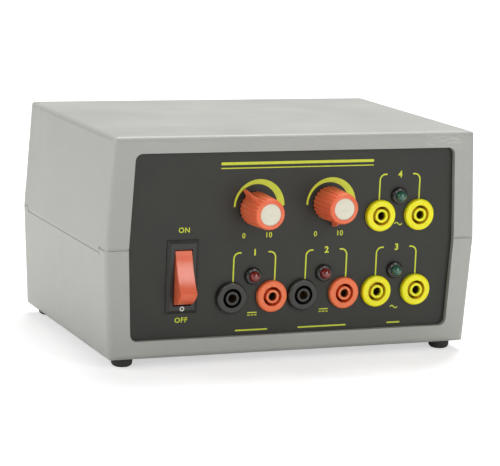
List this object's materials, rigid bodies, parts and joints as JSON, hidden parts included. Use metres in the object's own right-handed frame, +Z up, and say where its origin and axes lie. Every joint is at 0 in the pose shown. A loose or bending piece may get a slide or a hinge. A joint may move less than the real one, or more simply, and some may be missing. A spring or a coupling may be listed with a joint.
{
  "type": "ripple tank power supply",
  "caption": "Small grey mains power supply with a recessed black front panel, rocker switch, two pointer dials, indicator lamps and 4 mm output sockets.",
  "frame": {"origin": "middle of the width and of the depth, at the underside of the rubber feet", "axes": "+X to the right seen from the front, +Y from the front panel to the back, +Z up"},
  "size_m": [0.1828, 0.1438, 0.104],
  "materials": {
    "case_grey": "fine grained, light warm grey",
    "foot_rubber": "matt black",
    "panel_black": "matt charcoal black",
    "black_plastic": "satin black",
    "gloss_black": "glossy black",
    "signal_red": "satin signal red",
    "knob_orange": "satin orange red",
    "cap_cream": "satin cream",
    "signal_yellow": "glossy yellow",
    "lamp_red": "clear dark red, unlit",
    "lamp_green": "clear dark green, unlit",
    "contact_brass": "plated, dull inside",
    "plated_steel": "zinc plated",
    "contact_copper": "bare copper alloy",
    "pot_case": "dark moulded case",
    "fuse_glass": "clear",
    "core_steel": "varnished laminations",
    "bobbin_plastic": "ivory",
    "winding_tape": "amber tape",
    "board_green": "green solder mask",
    "capacitor_sleeve": "shrunk dark blue sleeve",
    "package_black": "moulded epoxy",
    "sink_black": "black anodised",
    "mains_wire": "brown insulation",
    "thin_wire": "blue insulation"
  },
  "bodies": {
    "root": {"upper_shell": "case_grey", "lower_shell": "case_grey", "rubber_feet": "foot_rubber", "case_screws": "plated_steel", "front_panel": "panel_black", "rear_panel": "panel_black", "switch_housing": "black_plastic", "switch_terminals": "plated_steel", "dial_pot_left": "pot_case", "dial_pot_right": "pot_case", "dial_nuts": "plated_steel", "dial_terminals": "plated_steel", "socket_black_1": "gloss_black", "socket_red_1": "signal_red", "socket_black_2": "gloss_black", "socket_red_2": "signal_red", "socket_yellow_1": "signal_yellow", "socket_yellow_2": "signal_yellow", "socket_yellow_3": "signal_yellow", "socket_yellow_4": "signal_yellow", "socket_contacts": "contact_brass", "socket_nuts": "black_plastic", "lamp_red_1": "lamp_red", "lamp_red_2": "lamp_red", "lamp_green_lower": "lamp_green", "lamp_green_upper": "lamp_green", "lamp_bezels": "gloss_black", "lamp_leads": "plated_steel", "mains_inlet": "black_plastic", "inlet_pins": "contact_brass", "inlet_screws": "plated_steel", "fuse_holder": "black_plastic", "fuse_nut": "black_plastic", "fuse_terminals": "plated_steel", "transformer_core": "core_steel", "transformer_bobbin": "bobbin_plastic", "transformer_windings": "winding_tape", "transformer_frame": "plated_steel", "inner_screws": "plated_steel", "circuit_board": "board_green", "capacitors": "capacitor_sleeve", "rectifiers": "package_black", "regulators": "package_black", "heat_sink": "sink_black", "mains_wires": "mains_wire", "low_voltage_wires": "thin_wire"},
    "rocker": {"switch_rocker": "signal_red", "switch_plunger": "plated_steel"},
    "contact_arm": {"switch_contact": "contact_copper"},
    "dial_left": {"dial_shaft_left": "plated_steel", "knob_left": "knob_orange", "collet_left": "contact_brass", "knob_cap_left": "cap_cream"},
    "dial_right": {"dial_shaft_right": "plated_steel", "knob_right": "knob_orange", "collet_right": "contact_brass", "knob_cap_right": "cap_cream"},
    "fuse_drawer": {"fuse_glass": "fuse_glass", "fuse_ends": "plated_steel"},
    "fuse_knob": {"fuse_cap": "black_plastic"}
  },
  "joints": [
    {"name": "rocker_tilt", "type": "hinge", "parent": "root", "child": "rocker", "pos_m": [-0.0541, -0.053, 0.0402], "axis": [1, 0, 0], "range_deg": [0, 50.2]},
    {"name": "contact_rock", "type": "hinge", "parent": "root", "child": "contact_arm", "pos_m": [-0.0541, -0.0403, 0.0402], "axis": [1, 0, 0], "range_deg": [-10.6, 0.5]},
    {"name": "dial_left_turn", "type": "hinge", "parent": "root", "child": "dial_left", "pos_m": [-0.01975, -0.0719, 0.0705], "axis": [0, 1, 0], "range_deg": [-98, 202]},
    {"name": "dial_right_turn", "type": "hinge", "parent": "root", "child": "dial_right", "pos_m": [0.0162, -0.0719, 0.072], "axis": [0, 1, 0], "range_deg": [-300, 0]},
    {"name": "fuse_out", "type": "slide", "parent": "root", "child": "fuse_drawer", "axis": [0, 1, 0], "range_m": [0, 0.032]},
    {"name": "fuse_turn", "type": "hinge", "parent": "fuse_drawer", "child": "fuse_knob", "pos_m": [0.01, 0.0719, 0.078], "axis": [0, 1, 0], "range_deg": [0, 60]}
  ],
  "couplings": [
    {"joint": "contact_rock", "follows": "rocker_tilt", "ratio": -0.2}
  ]
}
